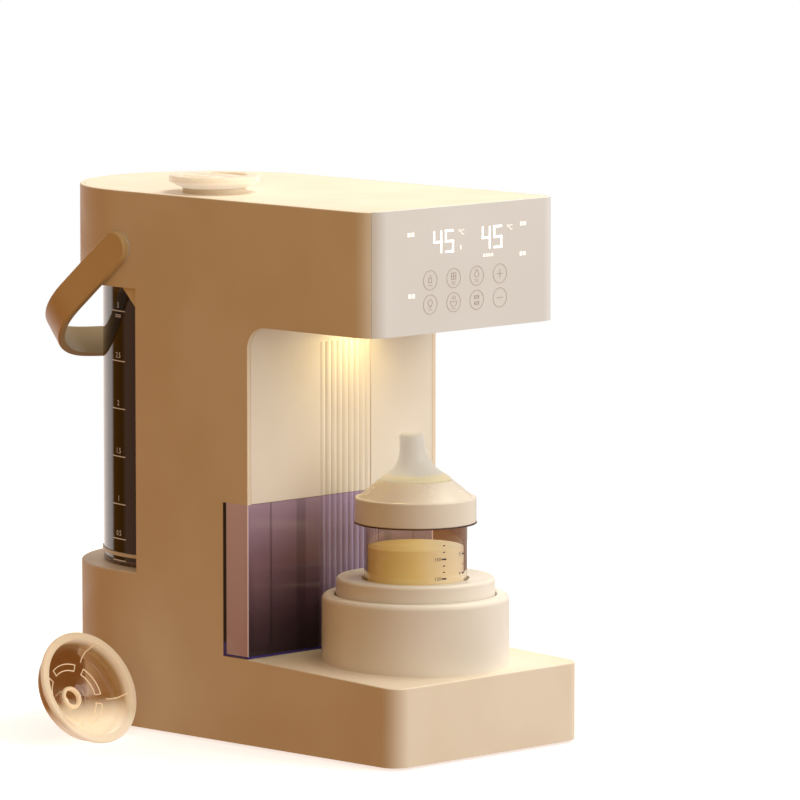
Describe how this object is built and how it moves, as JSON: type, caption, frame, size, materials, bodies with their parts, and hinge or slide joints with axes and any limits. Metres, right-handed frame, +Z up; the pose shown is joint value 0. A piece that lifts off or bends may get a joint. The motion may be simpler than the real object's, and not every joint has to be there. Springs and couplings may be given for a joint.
{
  "type": "baby_formula_maker",
  "caption": "Counter-top water dispenser for baby formula: C-shaped body, clear tank behind, round warmer cup with a feeding bottle, strap handle, lift-off lid and a funnel beside it.",
  "frame": {"origin": "centre of the base's footprint on the face its feet stand on", "axes": "+Z up, front towards -Y, +X to the right of a viewer who faces the front"},
  "size_m": [0.2631, 0.3515, 0.3613],
  "materials": {
    "cream_shell": "fine-textured injection-moulded ABS, warm cream",
    "cream_trim": "smooth moulded PP, light cream",
    "gloss_panel": "glossy back-printed acrylic, pale beige",
    "smoked_clear": "smoked brown-violet transparent plastic, polished",
    "clear_tank": "clear polished copolyester tank",
    "bottle_clear": "clear borosilicate glass",
    "funnel_clear": "clear moulded polypropylene",
    "silicone": "translucent food silicone",
    "milk": "formula milk, modelled as a still solid",
    "black_rubber": "soft black rubber",
    "steel": "brushed stainless steel",
    "screw_steel": "zinc-plated steel",
    "aluminium": "turned aluminium plate",
    "dark_plastic": "black glass-filled nylon",
    "white_plastic": "white acetal",
    "board_green": "printed circuit board with parts",
    "display_black": "LED display module",
    "film_orange": "polyimide heater film",
    "lamp_white": "diffusing lamp lens"
  },
  "bodies": {
    "root": {"main_housing": "cream_shell", "top_cover": "cream_shell", "base_plate": "cream_shell", "foot_pads": "black_rubber", "base_screws": "screw_steel", "control_panel": "gloss_panel", "bay_liner": "cream_trim", "bay_lamp_lens": "lamp_white", "bay_lamp_board": "board_green", "smoked_cover": "smoked_clear", "tank_bay_wall": "cream_shell", "tank_shell": "clear_tank", "tank_foot_band": "cream_trim", "tank_cap": "clear_tank", "tank_outlet": "dark_plastic", "fill_chute": "white_plastic", "pivot_bushes": "white_plastic", "warmer_cup": "cream_trim", "cup_screws": "screw_steel", "heating_plate": "aluminium", "heating_film": "film_orange", "temperature_sensor": "steel", "pump_housing": "dark_plastic", "pump_motor": "steel", "inlet_hose": "silicone", "heater_tube": "steel", "heater_bracket": "dark_plastic", "feed_hose": "silicone", "outlet_hose": "silicone", "outlet_nozzle": "white_plastic", "control_board": "board_green", "display_module": "display_black", "touch_springs": "steel", "power_board": "board_green", "power_inlet": "dark_plastic"},
    "lid": {"fill_lid": "cream_trim", "lid_seal": "silicone"},
    "handle": {"carry_handle": "cream_trim", "pivot_pins": "steel"},
    "ring": {"bottle_ring": "cream_trim"},
    "bottle": {"bottle_glass": "bottle_clear", "bottle_milk": "milk"},
    "teat": {"bottle_teat": "silicone"},
    "collar": {"bottle_collar": "cream_trim"},
    "funnel": {"milk_funnel": "funnel_clear"},
    "rotor": {"pump_rotor": "white_plastic"}
  },
  "joints": [
    {"name": "lid_lift", "type": "slide", "parent": "root", "child": "lid", "axis": [0, 0, 1], "range_m": [0, 0.04]},
    {"name": "handle_swing", "type": "hinge", "parent": "root", "child": "handle", "pos_m": [0, 0.0825, 0.313], "axis": [1, 0, 0], "range_deg": [0, 129]},
    {"name": "ring_lift", "type": "slide", "parent": "root", "child": "ring", "axis": [0, 0, 1], "range_m": [0, 0.03]},
    {"name": "bottle_lift", "type": "slide", "parent": "root", "child": "bottle", "axis": [0, 0, 1], "range_m": [0, 0.05]},
    {"name": "teat_rise", "type": "slide", "parent": "bottle", "child": "teat", "axis": [0, 0, 1], "range_m": [0, 0.0075]},
    {"name": "collar_turn", "type": "hinge", "parent": "teat", "child": "collar", "pos_m": [0, -0.1038, 0.16], "axis": [0, 0, 1], "range_deg": [0, 540]},
    {"name": "funnel_lift", "type": "slide", "parent": "root", "child": "funnel", "axis": [0, 0, 1], "range_m": [0, 0.06]},
    {"name": "rotor_spin", "type": "hinge", "parent": "root", "child": "rotor", "pos_m": [0.05, 0.06, 0.03], "axis": [0, 0, 1], "continuous": true}
  ],
  "couplings": [
    {"joint": "teat_rise", "follows": "collar_turn", "m_per_rad": 0.00079577}
  ]
}
